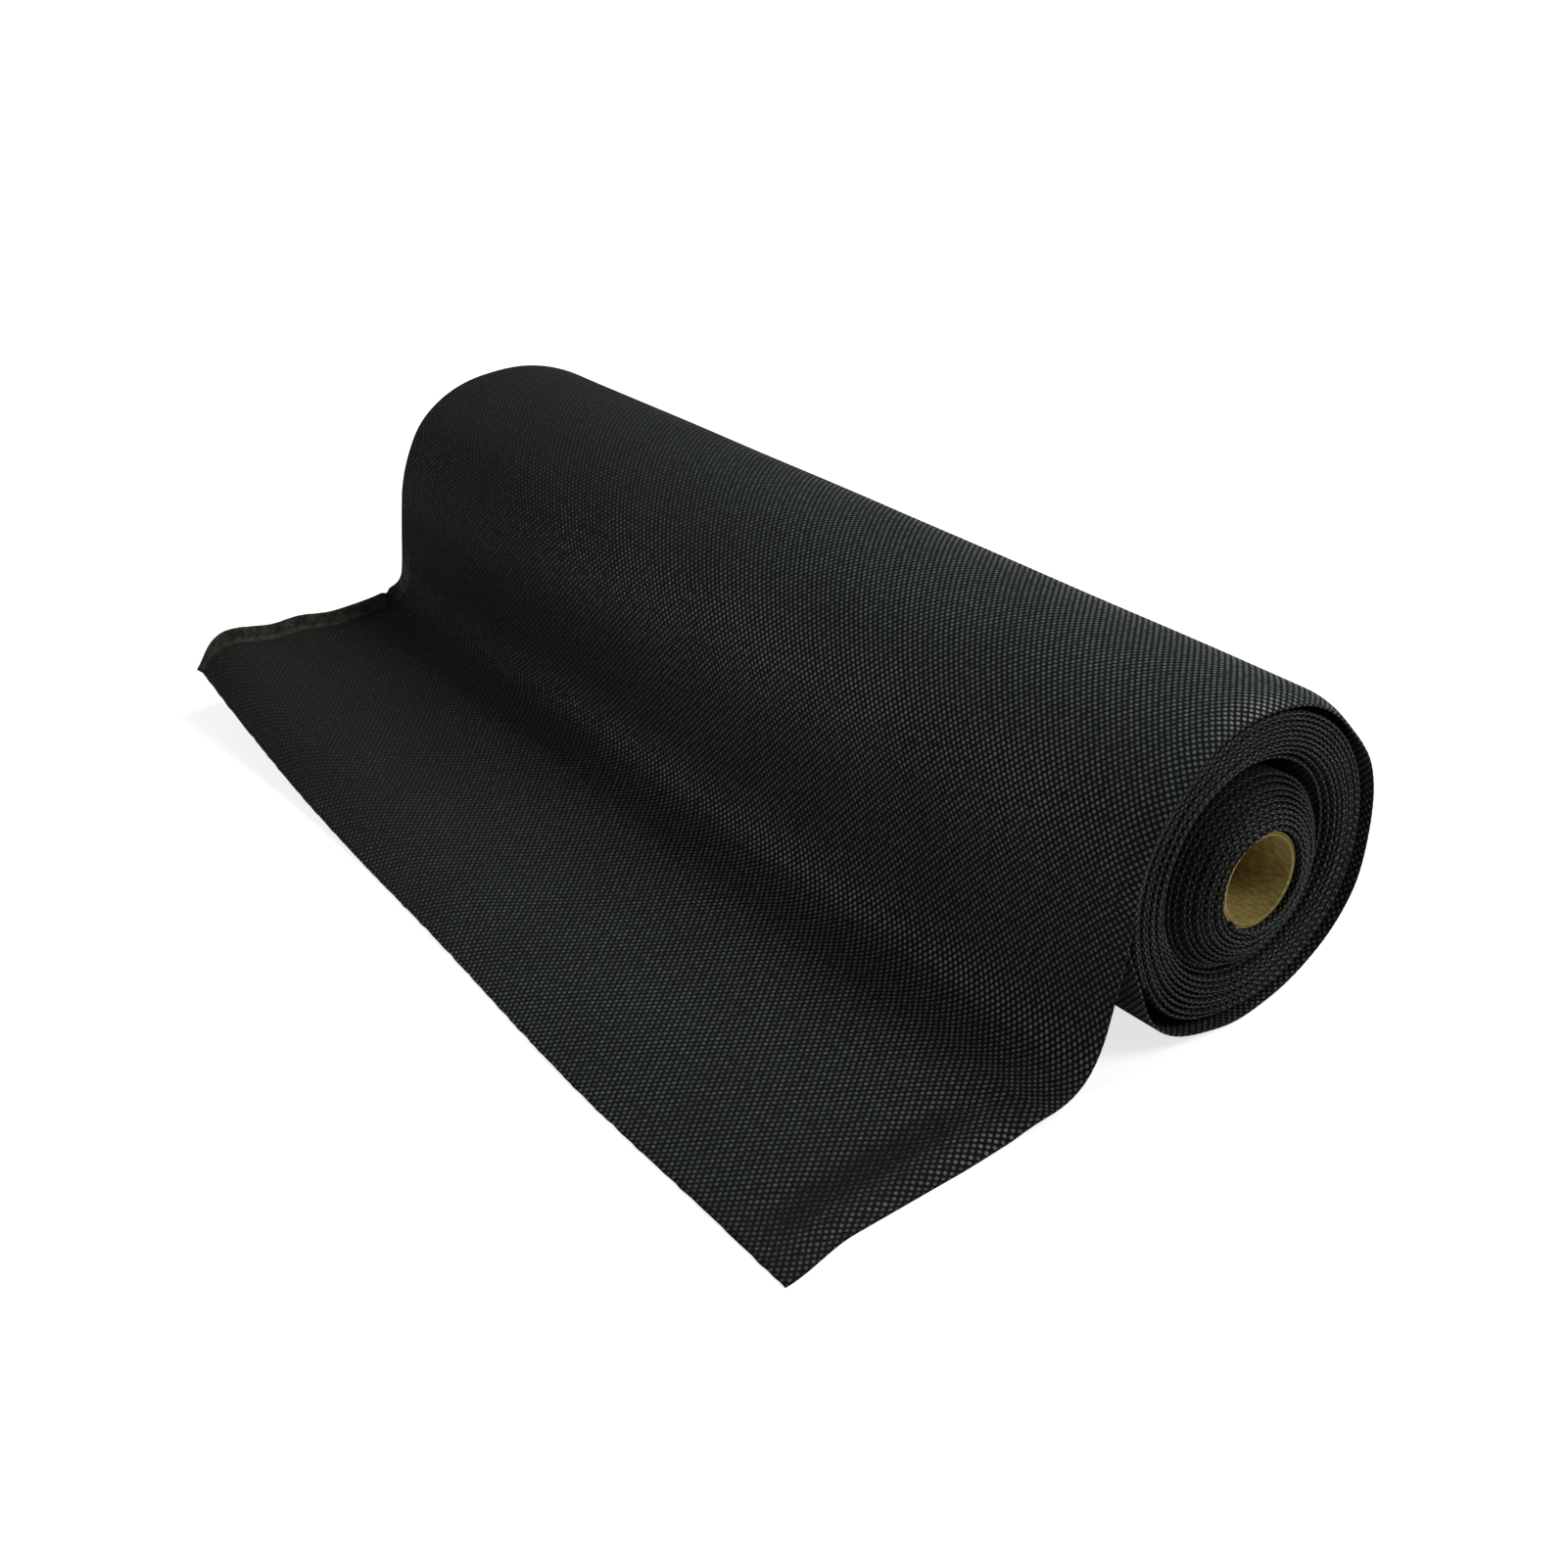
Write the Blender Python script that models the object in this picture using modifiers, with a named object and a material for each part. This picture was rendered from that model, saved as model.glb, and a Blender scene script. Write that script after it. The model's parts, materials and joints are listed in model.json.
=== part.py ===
"""Roll of nonwoven weed mat on a paperboard core, its outer end paid out on the ground.

Lengths are in metres and +Z is up. +X runs along the core to the near end of the roll, and the
mat is paid out towards -Y. The origin is on the ground, under the middle of the roll.

The mat is one strip of cloth: it winds out from the core, makes the outermost turn over the top
of the roll, drops down the front and lies on the ground. A real roll has some forty thin turns;
here fewer and thicker turns fill the same space.

Angles round the roll are counted from its front, over the top, to the back and the bottom.
"""
import math

import bmesh
import bpy
from mathutils import Vector

# Mat
MAT_WIDTH = 0.500
MAT_THICKNESS = 0.0014
ROLL_RADIUS = 0.065

# Core, which has sagged and moved forward inside the outer turns
BORE_RADIUS = 0.0175
PLY_WALL = 0.00065
CORE_RECESS = 0.0025
CORE_FORWARD = 0.001
CORE_SAG = 0.003

# Starter tape under the first turn
TAPE_THICKNESS = 0.0004
TAPE_WIDTH = 0.025
TAPE_END_INSET = 0.020

# Telescoped turns near the core, and the turns outside them
INNER_TURN_SHARE = 0.48
TELESCOPE_PROUD = 0.0055
GROOVE_DEPTH = 0.003
SHOULDER_DEPTH = 0.0015

# Outermost turn
WRAP_SLACK = 0.0008
WRAP_START = math.radians(330)
WRAP_LEAVES = math.radians(10)

# Drop in front of the roll and the bend at its foot
FOOT_REACH = 0.037
FOOT_NEAR_HEIGHT = 0.0045
FOOT_FAR_HEIGHT = 0.0255
DROP_SHARE = 0.67
BEND_SHARE = 0.70

# Free end on the ground, with its raised far side and turned-up lip
LAID_NEAR_LENGTH = 0.121
LAID_FAR_LENGTH = 0.081
CORNER_LIFT = 0.024
CORNER_LIFT_SHARE = 0.4
SIDE_HUMP = 0.008
LIP_WIDTH = 0.007
LIP_TURN = math.radians(70)
LIP_GROWTH_SHARE = 0.15

# Clearances
SEAT_GAP = 0.0003
TURN_GAP = 0.0005
RUNNING_GAP = 0.0004
GROUND_FLAT_DEPTH = 0.0005
CUT_OVERRUN = 0.010

# Fineness
TURN_STEPS = 24
WRAP_STEPS = 32
DROP_STEPS = 12
WRAP_COLUMNS = 8
LAID_STEPS = 14
LAID_COLUMNS = 16
LIP_COLUMNS = 2
TAPE_STEPS = 6
CORE_STEPS = 48

# Radii to the middle of the cloth, worked out from the sizes above
HALF_CLOTH = MAT_THICKNESS / 2
CORE_RADIUS = BORE_RADIUS + 2 * PLY_WALL + SEAT_GAP
TAPE_RADIUS = CORE_RADIUS + SEAT_GAP + TAPE_THICKNESS / 2
FIRST_TURN_RADIUS = TAPE_RADIUS + TAPE_THICKNESS / 2 + SEAT_GAP + HALF_CLOTH
WRAP_END_RADIUS = ROLL_RADIUS - HALF_CLOTH
WRAP_START_RADIUS = WRAP_END_RADIUS - WRAP_SLACK
WRAP_STEP = (WRAP_START - WRAP_LEAVES) / WRAP_STEPS
TURN_STEP = math.tau / TURN_STEPS
INSIDE_OF_WRAP = WRAP_START_RADIUS * math.cos(WRAP_STEP / 2) - HALF_CLOTH
LAST_TURN_RADIUS = INSIDE_OF_WRAP - RUNNING_GAP - HALF_CLOTH / math.cos(TURN_STEP / 2)

# Turns. The core and the inner turns lie off the roll's axis, so the outer turns start that
# much further out, and a break as long keeps the ends of the two windings apart.
CORE_OFFSET = math.hypot(CORE_FORWARD, CORE_SAG)
WINDING_DEPTH = LAST_TURN_RADIUS - FIRST_TURN_RADIUS - CORE_OFFSET
TURNS = math.floor(WINDING_DEPTH / (MAT_THICKNESS + TURN_GAP))
PITCH = WINDING_DEPTH / TURNS
INNER_TURNS = round(TURNS * INNER_TURN_SHARE)
BREAK_RADIUS = FIRST_TURN_RADIUS + PITCH * INNER_TURNS
BREAK_TURNS = (SEAT_GAP + CORE_OFFSET) / (math.tau * BREAK_RADIUS)


def between(start, end, share):
    """The value this share of the way from start to end."""
    return start + (end - start) * share


def wrap_radius(angle):
    """Radius to the middle of the outermost turn, which loosens towards its end."""
    share = (WRAP_START - angle) / (WRAP_START - WRAP_LEAVES)
    return between(WRAP_START_RADIUS, WRAP_END_RADIUS, share)


BOTTOM_ANGLE = math.radians(270)
AXIS_HEIGHT = wrap_radius(BOTTOM_ANGLE) + HALF_CLOTH - GROUND_FLAT_DEPTH
FOOT_Y = -(ROLL_RADIUS + FOOT_REACH)


def round_roll(radius, angle):
    """The (y, z) point at this radius and angle round the roll."""
    return -radius * math.cos(angle), AXIS_HEIGHT + radius * math.sin(angle)


def round_core(radius, angle):
    """The (y, z) point at this radius and angle round the core."""
    y, z = round_roll(radius, angle)
    return y - CORE_FORWARD, z - CORE_SAG


def wound_angle(turns):
    """Angle of the wound cloth this many turns out from its start at the core."""
    return WRAP_START + math.tau * (TURNS - turns)


def wound_inside(turns):
    """The (y, z) point of the inner turns this many turns out."""
    return round_core(FIRST_TURN_RADIUS + PITCH * turns, wound_angle(turns))


def wound_outside(turns):
    """The (y, z) point of the outer turns this many turns out."""
    return round_roll(FIRST_TURN_RADIUS + CORE_OFFSET + PITCH * turns, wound_angle(turns))


def foot_height(across):
    """Height of the foot of the drop, this share of the way from the near to the far side."""
    return between(FOOT_NEAR_HEIGHT, FOOT_FAR_HEIGHT, across)


def drop(along, across):
    """The (y, z) point on the drop: it leaves the roll on its tangent and ends level."""
    leaves = Vector(round_roll(WRAP_END_RADIUS, WRAP_LEAVES))
    foot = Vector((FOOT_Y, foot_height(across)))
    reach = DROP_SHARE * (leaves.y - foot.y)
    down = leaves - reach * Vector((math.sin(WRAP_LEAVES), math.cos(WRAP_LEAVES)))
    level = Vector((between(foot.x, leaves.x, BEND_SHARE), foot.y))
    back = 1 - along
    upper = leaves * back ** 3 + 3 * down * back ** 2 * along
    lower = 3 * level * back * along ** 2 + foot * along ** 3
    return upper + lower


def laid(along, across):
    """The (y, z) point on the laid stretch, whose far corner and far side are raised."""
    length = between(LAID_NEAR_LENGTH, LAID_FAR_LENGTH, across)
    lifted = max(0, (across - 1 + CORNER_LIFT_SHARE) / CORNER_LIFT_SHARE)
    edge_height = HALF_CLOTH - GROUND_FLAT_DEPTH + CORNER_LIFT * lifted ** 2
    hump = SIDE_HUMP * across ** 2 * math.sin(math.pi * along ** 3)
    y = FOOT_Y - SEAT_GAP - length * along
    z = between(foot_height(across), edge_height, along) + hump
    return y, z


def clear_scene():
    for thing in list(bpy.data.objects):
        bpy.data.objects.remove(thing, do_unlink=True)


def add_collection(name):
    group = bpy.data.collections.new(name)
    bpy.context.scene.collection.children.link(group)
    return group


def add_material(name, color, roughness):
    material = bpy.data.materials.new(name)
    material.use_nodes = True
    shader = material.node_tree.nodes["Principled BSDF"]
    shader.inputs["Base Color"].default_value = color
    shader.inputs["Roughness"].default_value = roughness
    shader.inputs["Metallic"].default_value = 0
    return material


def add_joint(name, place, parent=None):
    """An empty on a joint's axis, which carries the pieces that move there."""
    joint = bpy.data.objects.new(name, None)
    joint.location = place
    PARTS.objects.link(joint)
    if parent:
        joint.parent = parent
        joint.location = place - parent.location
    return joint


def add_piece(name, mesh, material, joint=None, joint_place=Vector()):
    """One piece, whose mesh is in world places, carried by its joint's empty."""
    mesh.materials.append(material)
    mesh.shade_smooth()
    piece = bpy.data.objects.new(name, mesh)
    PARTS.objects.link(piece)
    if joint:
        piece.parent = joint
        piece.location = -joint_place
    return piece


def cloth_mesh(name, place, rows, columns):
    """A grid of cloth, its corners laid by place(row, column)."""
    form = bmesh.new()
    bmesh.ops.create_grid(form, x_segments=rows, y_segments=columns, size=1)
    for corner in form.verts:
        row = round((corner.co.x + 1) / 2 * rows)
        column = round((corner.co.y + 1) / 2 * columns)
        corner.co = place(row, column)
    mesh = bpy.data.meshes.new(name)
    form.to_mesh(mesh)
    form.free()
    return mesh


def thicken(piece, thickness):
    solid = piece.modifiers.new("thickness", "SOLIDIFY")
    solid.thickness = thickness
    solid.offset = 0
    solid.use_even_offset = True
    solid.use_quality_normals = True


def cut_flat(piece):
    """Flatten what would press into the ground."""
    cut = piece.modifiers.new("ground", "BOOLEAN")
    cut.operation = "DIFFERENCE"
    cut.solver = "EXACT"
    cut.object = GROUND


def add_ground_cutter():
    """A block whose top is the ground, larger all round than the mat."""
    depth = CUT_OVERRUN
    width = MAT_WIDTH + 2 * (TELESCOPE_PROUD + CUT_OVERRUN)
    front = FOOT_Y - LAID_NEAR_LENGTH - CUT_OVERRUN
    back = ROLL_RADIUS + CUT_OVERRUN
    form = bmesh.new()
    bmesh.ops.create_cube(form, size=1)
    bmesh.ops.scale(form, vec=(width, back - front, depth), verts=form.verts)
    bmesh.ops.translate(form, vec=(0, (front + back) / 2, -depth / 2), verts=form.verts)
    mesh = bpy.data.meshes.new("ground_cutter")
    form.to_mesh(mesh)
    form.free()
    cutter = bpy.data.objects.new("ground_cutter", mesh)
    cutter.hide_render = True
    cutter.display_type = "WIRE"
    CUTTERS.objects.link(cutter)
    return cutter


def add_ply(name, inside, material):
    """One ply of the core, a rectangle turned about the core's axis."""
    outside = inside + PLY_WALL
    near = MAT_WIDTH / 2 + TELESCOPE_PROUD - CORE_RECESS
    far = near - MAT_WIDTH
    corners = [(outside, 0, near), (outside, 0, far), (inside, 0, far), (inside, 0, near)]
    edges = [(0, 1), (1, 2), (2, 3), (3, 0)]
    mesh = bpy.data.meshes.new(name)
    mesh.from_pydata(corners, edges, [])
    mesh.materials.append(material)
    ply = bpy.data.objects.new(name, mesh)
    ply.rotation_euler = (0, math.radians(90), 0)
    ply.parent = core_slide
    PARTS.objects.link(ply)
    turned = ply.modifiers.new("turned", "SCREW")
    turned.axis = "Z"
    turned.angle = math.tau
    turned.steps = CORE_STEPS
    turned.render_steps = CORE_STEPS
    turned.use_merge_vertices = True
    turned.merge_threshold = SEAT_GAP / 10
    turned.use_smooth_shade = True
    return ply


def add_tape(material):
    """The strip of tape that lies on the core under the start of the first turn."""
    sweep = TAPE_WIDTH / TAPE_RADIUS
    start = wound_angle(0)
    near = MAT_WIDTH / 2 + TELESCOPE_PROUD - CORE_RECESS - TAPE_END_INSET
    length = MAT_WIDTH - 2 * TAPE_END_INSET

    def place(row, column):
        y, z = round_core(TAPE_RADIUS, start - sweep * row / TAPE_STEPS)
        return near - length * column, y, z

    mesh = cloth_mesh("starter_tape", place, TAPE_STEPS, 1)
    tape = add_piece("starter_tape", mesh, material, core_slide, CORE_AXIS)
    thicken(tape, TAPE_THICKNESS)


def add_turns(name, wound, first, last, first_shift, last_shift, material, joint, joint_place):
    """An unbroken winding from the first to the last turn, its edges shifted along the core."""
    rows = round((last - first) * TURN_STEPS)

    def place(row, column):
        share = row / rows
        y, z = wound(between(first, last, share))
        shift = between(first_shift, last_shift, share)
        return MAT_WIDTH / 2 - MAT_WIDTH * column + shift, y, z

    mesh = cloth_mesh(name, place, rows, 1)
    turns = add_piece(name, mesh, material, joint, joint_place)
    thicken(turns, MAT_THICKNESS)
    path = [Vector(place(row, 0)[1:]) for row in range(rows + 1)]
    gap = least_gap(path) - MAT_THICKNESS
    print(f"{name}: {last - first:.2f} turns, least gap to itself {gap * 1000:.3f} mm")


def least_gap(path):
    """Least distance between the middles of two turns, from points to straight stretches."""
    apart = TURN_STEPS // 2
    least = math.inf
    for index, point in enumerate(path):
        for other in range(index + apart, len(path) - 1):
            start = path[other]
            run = path[other + 1] - start
            share = min(1, max(0, (point - start).dot(run) / run.length_squared))
            least = min(least, (point - start - run * share).length)
    return least


def add_outer_wrap(material):
    """The outermost turn, the drop and the bend at its foot, in one stretch of cloth."""

    def place(row, column):
        across = column / WRAP_COLUMNS
        if row <= WRAP_STEPS:
            angle = WRAP_START - WRAP_STEP * row
            y, z = round_roll(wrap_radius(angle), angle)
        else:
            y, z = drop((row - WRAP_STEPS) / DROP_STEPS, across)
        return MAT_WIDTH / 2 - MAT_WIDTH * across, y, z

    mesh = cloth_mesh("mat_outer_wrap", place, WRAP_STEPS + DROP_STEPS, WRAP_COLUMNS)
    wrap = add_piece("mat_outer_wrap", mesh, material)
    thicken(wrap, MAT_THICKNESS)
    cut_flat(wrap)


def add_free_end(material):
    """The laid stretch. Its far edge turns up in a lip that grows from nothing at the foot."""

    def place(row, column):
        along = row / LAID_STEPS
        flat_width = MAT_WIDTH - LIP_WIDTH
        on_flat = min(1, column / LAID_COLUMNS)
        on_lip = max(0, column - LAID_COLUMNS) / LIP_COLUMNS
        turn = LIP_TURN * min(1, along / LIP_GROWTH_SHARE)
        inward = flat_width * on_flat + LIP_WIDTH * on_lip * math.cos(turn)
        y, z = laid(along, inward / MAT_WIDTH)
        return MAT_WIDTH / 2 - inward, y, z + LIP_WIDTH * on_lip * math.sin(turn)

    mesh = cloth_mesh("mat_free_end", place, LAID_STEPS, LAID_COLUMNS + LIP_COLUMNS)
    free_end = add_piece("mat_free_end", mesh, material, free_end_lift, FOOT)
    thicken(free_end, MAT_THICKNESS)
    cut_flat(free_end)


clear_scene()
PARTS = add_collection("weed_mat_roll")
CUTTERS = add_collection("cutters")
GROUND = add_ground_cutter()

# The roll turns about the core, the inner turns slide along it, and the free end lifts about
# the line along the foot of the drop, level with the top of the cloth.
AXIS = Vector((0, 0, AXIS_HEIGHT))
CORE_AXIS = Vector((0, *round_core(0, 0)))
FOOT = Vector((0, FOOT_Y, foot_height(1 / 2) + HALF_CLOTH))
roll_turn = add_joint("roll_turn", AXIS)
core_slide = add_joint("core_slide", CORE_AXIS, roll_turn)
free_end_lift = add_joint("free_end_lift", FOOT)

mat_black = add_material("mat_black", (0.013, 0.015, 0.014, 1), 0.6)
core_kraft = add_material("core_kraft", (0.42, 0.31, 0.13, 1), 0.8)
tape_cream = add_material("tape_cream", (0.60, 0.52, 0.36, 1), 0.5)

add_ply("core_inner_ply", BORE_RADIUS, core_kraft)
add_ply("core_outer_ply", BORE_RADIUS + PLY_WALL + SEAT_GAP, core_kraft)
add_tape(tape_cream)
add_turns(
    "mat_inner_turns",
    wound_inside,
    0,
    INNER_TURNS,
    TELESCOPE_PROUD,
    -GROOVE_DEPTH,
    mat_black,
    core_slide,
    CORE_AXIS,
)
add_turns(
    "mat_outer_turns",
    wound_outside,
    INNER_TURNS + BREAK_TURNS,
    TURNS,
    -GROOVE_DEPTH,
    -SHOULDER_DEPTH,
    mat_black,
    roll_turn,
    AXIS,
)
add_outer_wrap(mat_black)
add_free_end(mat_black)
print(f"roll axis at z = {AXIS_HEIGHT:.5f}, pitch {PITCH:.5f}, turns {TURNS}, inner {INNER_TURNS}")
near_foot = (MAT_WIDTH / 2, FOOT_Y, FOOT_NEAR_HEIGHT + HALF_CLOTH)
far_foot = (-MAT_WIDTH / 2, FOOT_Y, FOOT_FAR_HEIGHT + HALF_CLOTH)
print("free end lifts about the line", near_foot, far_foot)
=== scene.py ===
"""Looks of the roll of nonwoven weed mat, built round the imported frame.

Lengths are in metres. The cloth comes in three pieces, each an unbroken ribbon: the outermost
turn with the drop and the laid stretch, the outer turns, and the telescoped inner turns.
Angles round the roll are counted from its front, over the top, to the back and the bottom, and
places across the strip from its near edge. Rows run along the strip and columns across it.

Two kinds of tuple come back among the named values. A hill is its height, its middle and its
width, and one that goes round the roll has the last two in degrees. A ramp is where it starts
and where it ends, and then, where these aren't 0 and 1, its value at the start and at the end.
"""

import json
import math

import bpy
import numpy as np
from mathutils import Matrix, Vector, noise


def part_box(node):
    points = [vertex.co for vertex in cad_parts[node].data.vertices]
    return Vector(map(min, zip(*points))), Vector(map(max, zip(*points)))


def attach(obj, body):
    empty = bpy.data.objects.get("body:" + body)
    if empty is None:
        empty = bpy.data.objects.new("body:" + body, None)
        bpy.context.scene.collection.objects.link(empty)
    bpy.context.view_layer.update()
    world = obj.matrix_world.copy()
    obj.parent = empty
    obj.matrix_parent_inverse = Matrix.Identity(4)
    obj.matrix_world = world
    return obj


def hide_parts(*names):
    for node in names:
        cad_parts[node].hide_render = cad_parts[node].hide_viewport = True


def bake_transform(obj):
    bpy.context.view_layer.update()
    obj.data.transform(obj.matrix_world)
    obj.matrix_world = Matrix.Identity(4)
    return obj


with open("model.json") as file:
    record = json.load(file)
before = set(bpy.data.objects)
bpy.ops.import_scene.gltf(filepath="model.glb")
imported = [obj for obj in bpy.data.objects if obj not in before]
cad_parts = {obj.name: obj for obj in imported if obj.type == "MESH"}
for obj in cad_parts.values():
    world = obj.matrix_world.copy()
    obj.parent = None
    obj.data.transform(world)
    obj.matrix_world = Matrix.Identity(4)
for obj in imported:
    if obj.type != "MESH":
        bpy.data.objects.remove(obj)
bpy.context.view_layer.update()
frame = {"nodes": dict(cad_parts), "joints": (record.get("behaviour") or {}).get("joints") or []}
JOINTS = {joint["name"]: joint for joint in frame["joints"]}
CORE_LOW, CORE_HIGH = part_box("core_outer_ply")

# Mat
MAT_WIDTH = 0.500
CLOTH_THICKNESS = 0.0010
ROLL_RADIUS = 0.065
AXIS_HEIGHT = JOINTS["roll_turn"]["pos_m"][2]
REST_GAP = 0.0001

# Outermost turn. It starts tucked in under the drop, slack, and leaves the roll at the front.
PAID_RADIUS = ROLL_RADIUS - CLOTH_THICKNESS / 2
WRAP_START = math.radians(372)
WRAP_LEAVES = math.radians(10)
WRAP_TUCK = 0.0022
WRAP_TUCK_ANGLES = (100, 372)
WRAP_RIPPLE = 0.0004
WRAP_RIPPLE_RATE = 3.1
WRAP_RIPPLE_RATE_ACROSS = 11
FRONT_SAG = (0.0054, 312, 20)
CROWN_SWELL = (0.0017, 124, 28)
CROWN_SWELL_PLACE = (-0.24, 0.05)
FAR_SWELL = (0.0020, 44, 16)
FAR_SWELL_PLACE = (-0.10, -0.25)

# Edges of the outermost turn, rolled in at the near and the far shoulder
SHOULDER_WIDTH = 0.013
SHOULDER_DRAW = 0.0034
SHOULDER_ENDS = (138, 165)
FAR_SHOULDER_WIDTH = 0.016
FAR_SHOULDER_DRAW = (0.0036, 98, 30)

# How far the outermost turn is shifted along the core
EDGE_SHIFT = 0.0007
EDGE_SHIFT_STARTS = (125, 150)
EDGE_SHIFT_ENDS = (305, 325)
BACK_SHIFT = (0.0014, 213, 22)
FOOT_SHIFT = (0.0012, 282, 18)
TOP_SHIFT = (-0.0012, 75, 28)
START_PULL = 0.004
START_PULL_ANGLES = (335, 362)
START_PULL_REACH = 0.03

# Drop and foot
FOOT_Y = JOINTS["free_end_lift"]["pos_m"][1]
FOOT_NEAR_HEIGHT = 0.0045
FOOT_FAR_HEIGHT = 0.0235
DROP_NEAR_SHARE = 0.67
DROP_FAR_SHARE = 0.95
BEND_NEAR_SHARE = 0.70
BEND_FAR_SHARE = 1.0
DROP_LENGTH = 0.085
SHOULDER_FADES = (0, 0.4)
DROP_RIPPLE = 0.0012
DROP_RIPPLE_RATE = (9, 12)

# Laid stretch. Places along it are shares of its length.
LAID_NEAR_LENGTH = 0.1215
LAID_FAR_LENGTH = 0.081
LAID_BOW = (0.0033, 0.27, 0.17)
CORNER_LIFT = 0.024
CORNER_LIFT_SHARE = 0.4
SIDE_HUMP = 0.0090
FAR_WAVE = (0.0033, 0.34, 0.15)
FAR_WAVE_SHARE = 1 / 3
CORNER_DROOP = 0.0012
CORNER_DROOP_PLACE = (0.86, 1)
EDGE_FALL = 0.0028
EDGE_FALL_WIDTH = 0.010
EDGE_DIP = (0.0015, 0.023, 0.009)
EDGE_FALL_PLACE = (0, 0.15)
NEAR_REACH = 0.10
NEAR_PULL = 0.0012
NEAR_PULL_PLACE = (0, 0.12)
NEAR_SPLAY = 0.0050
NEAR_SPLAY_PLACE = (0.72, 1)
FAR_SPLAY = 0.0030
FAR_SPLAY_SHARE = 0.2
LAID_RIPPLE = 0.0008
LAID_RIPPLE_RATE = (13, 15)
LAID_RIPPLE_PLACE = (0, 0.3)
CUT_RIPPLE = 0.0005
CUT_RIPPLE_RATE = 90

# Lip along the far edge, from the middle of the drop to the free end
LIP_WIDTH = 0.008
LIP_TURN = math.radians(78)
LIP_BEND = (0, 0.5)
LIP_STARTS = (0.38, 0.78)
NICK = (0.55, 0.70, 0.06)
LIP_RIPPLE = 0.22
LIP_RIPPLE_RATE = 14
LIP_END = (0.80, 1)
LIP_END_CUT = 0.5

# Wound turns. Shares go from a winding's first turn to its last.
FIRST_TURN_RADIUS = 0.0202
INNER_LAST_RADIUS = 0.0385
OUTER_FIRST_RADIUS = 0.0417
OUTER_LAST_RADIUS = 0.0599
BREAK_ANGLE = math.radians(330)
TURNS_EACH = 10
TURN_STEPS = 120
TURN_THICKNESS = 0.0014
ROLL_CENTRE = (0, AXIS_HEIGHT)
CORE_CENTRE = ((CORE_LOW[1] + CORE_HIGH[1]) / 2, (CORE_LOW[2] + CORE_HIGH[2]) / 2)

# How far the turns stand out at the near end, and where they aren't round
TELESCOPE_PROUD = 0.0058
CONE_FALL = 0.0045
CONE_DROP = 0.0065
CONE_SWELL = (0.0014, 70, 50)
GROOVE_DEPTH = 0.0052
GROOVE_CLOSE = (0.0019, 70, 50)
OUTER_RIDGE = 0.0037
OUTER_RIDGE_SHARE = (0, 0.35)
OUTER_RISE = 0.001
PACK_SAG = (0.0036, 310, 22)
PACK_SAG_POWER = 1.7
PACK_TUCK = 0.0016
PACK_TUCK_ANGLE = math.radians(75)

# Looseness of the turns, in and out and along the core
TURN_LOOSENESS = 0.00016
TURN_LOOSENESS_RATE = 1.3
TURN_STAGGER = 0.00035
TURN_WANDER = 0.00055
TURN_WANDER_RATE = 1.7
TURN_WANDER_RATE_AROUND = 1.4
MOUTH_WIDTH = 0.0030
MOUTH_DRAW = 0.0009
MOUTH_TURNS = (1.5, 0.5)

# Steps of the ribbons
WRAP_ROW = 0.0026
DROP_ROW = 0.0025
LAID_ROWS = 52
RIM_STEPS = 3
RIM_CLEAR = 1.5
COLUMN = 0.0034
EDGE_COLUMN = 0.0012
FINE_NEAR_WIDTH = EDGE_FALL_WIDTH * 1.5
FINE_FAR_WIDTH = LIP_WIDTH * 2
TURN_COLUMNS = np.array([0.0012, 0.002, 0.003, 0.006, 0.02, 0.1, 0.25, 0.4, 0.48, 0.494, 0.498])

# Cloth: the lattice of its pressed points, in cells with a point at the corners and the middle
CELL_ALONG = 0.00335
CELL_ACROSS = 0.00295
POINT_STRAY = 0.0004
POINT_STRAY_SCALE = 260.0
POINT_COLOUR_EDGE = (0.10, 0.33, 1.0, 0.0)
POINT_HEIGHT_EDGE = (0.24, 0.38, 0.6, 0.0)
CLOTH_DARK = (0.0018, 0.0030, 0.0020, 1)
CLOTH_FADED = (0.0094, 0.0121, 0.0091, 1)
# The pressed points' relief and gloss are real; their pale colour is a painted glint
CLOTH_POINT_GLINT = (0.116, 0.141, 0.119, 1)
CLOTH_SPECULAR = 0.24
CLOTH_ROUGHNESS = (0.0, 0.55, 0.95, 0.36)
CLOTH_RELIEF = 0.00022
FIBRE_STRETCH = (1.0, 1.6, 1.0)
FIBRE_SCALE = 1900.0
FIBRE_RELIEF = 0.35
FIBRE_SHADE = (0.35, 0.75, 0.75, 1.35)

# Cloth: how strong the points' painted glint is, by patches and by the place across and along the
# strip, with painted shade dimming it over the laid stretch and in the dip by the near edge
PATCH_SCALE = 330.0
PATCH_STRENGTH = (0.30, 0.72, 0.40, 1.45)
PRESS_SCALE = 24.0
PRESS_STRENGTH = (0.32, 0.62, 0.86, 1.06)
NEAR_STRENGTH = (0.04, 0.35, 0.22, 1.0)
# Painted shade on the points over the laid stretch, and in the dip by its near edge
LAID_PAINTED_SHADE = 0.74
LAID_EDGE_PAINTED_SHADE = 0.54
LAID_SHADE_ACROSS = (0.34, 0.47)
LAID_SHADE_ALONG = (0.48, 0.55)
DIP_INSIDE = (MAT_WIDTH - 0.036, MAT_WIDTH - 0.024)
DIP_OUTSIDE = (MAT_WIDTH - 0.019, MAT_WIDTH - 0.012, 1.0, 0.0)
DIP_STARTS = (0.50, 0.52)
DIP_FADES = (0.56, 0.60, 1.0, 0.2)
DIP_PAINTED_SHADE = 0.4
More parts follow.
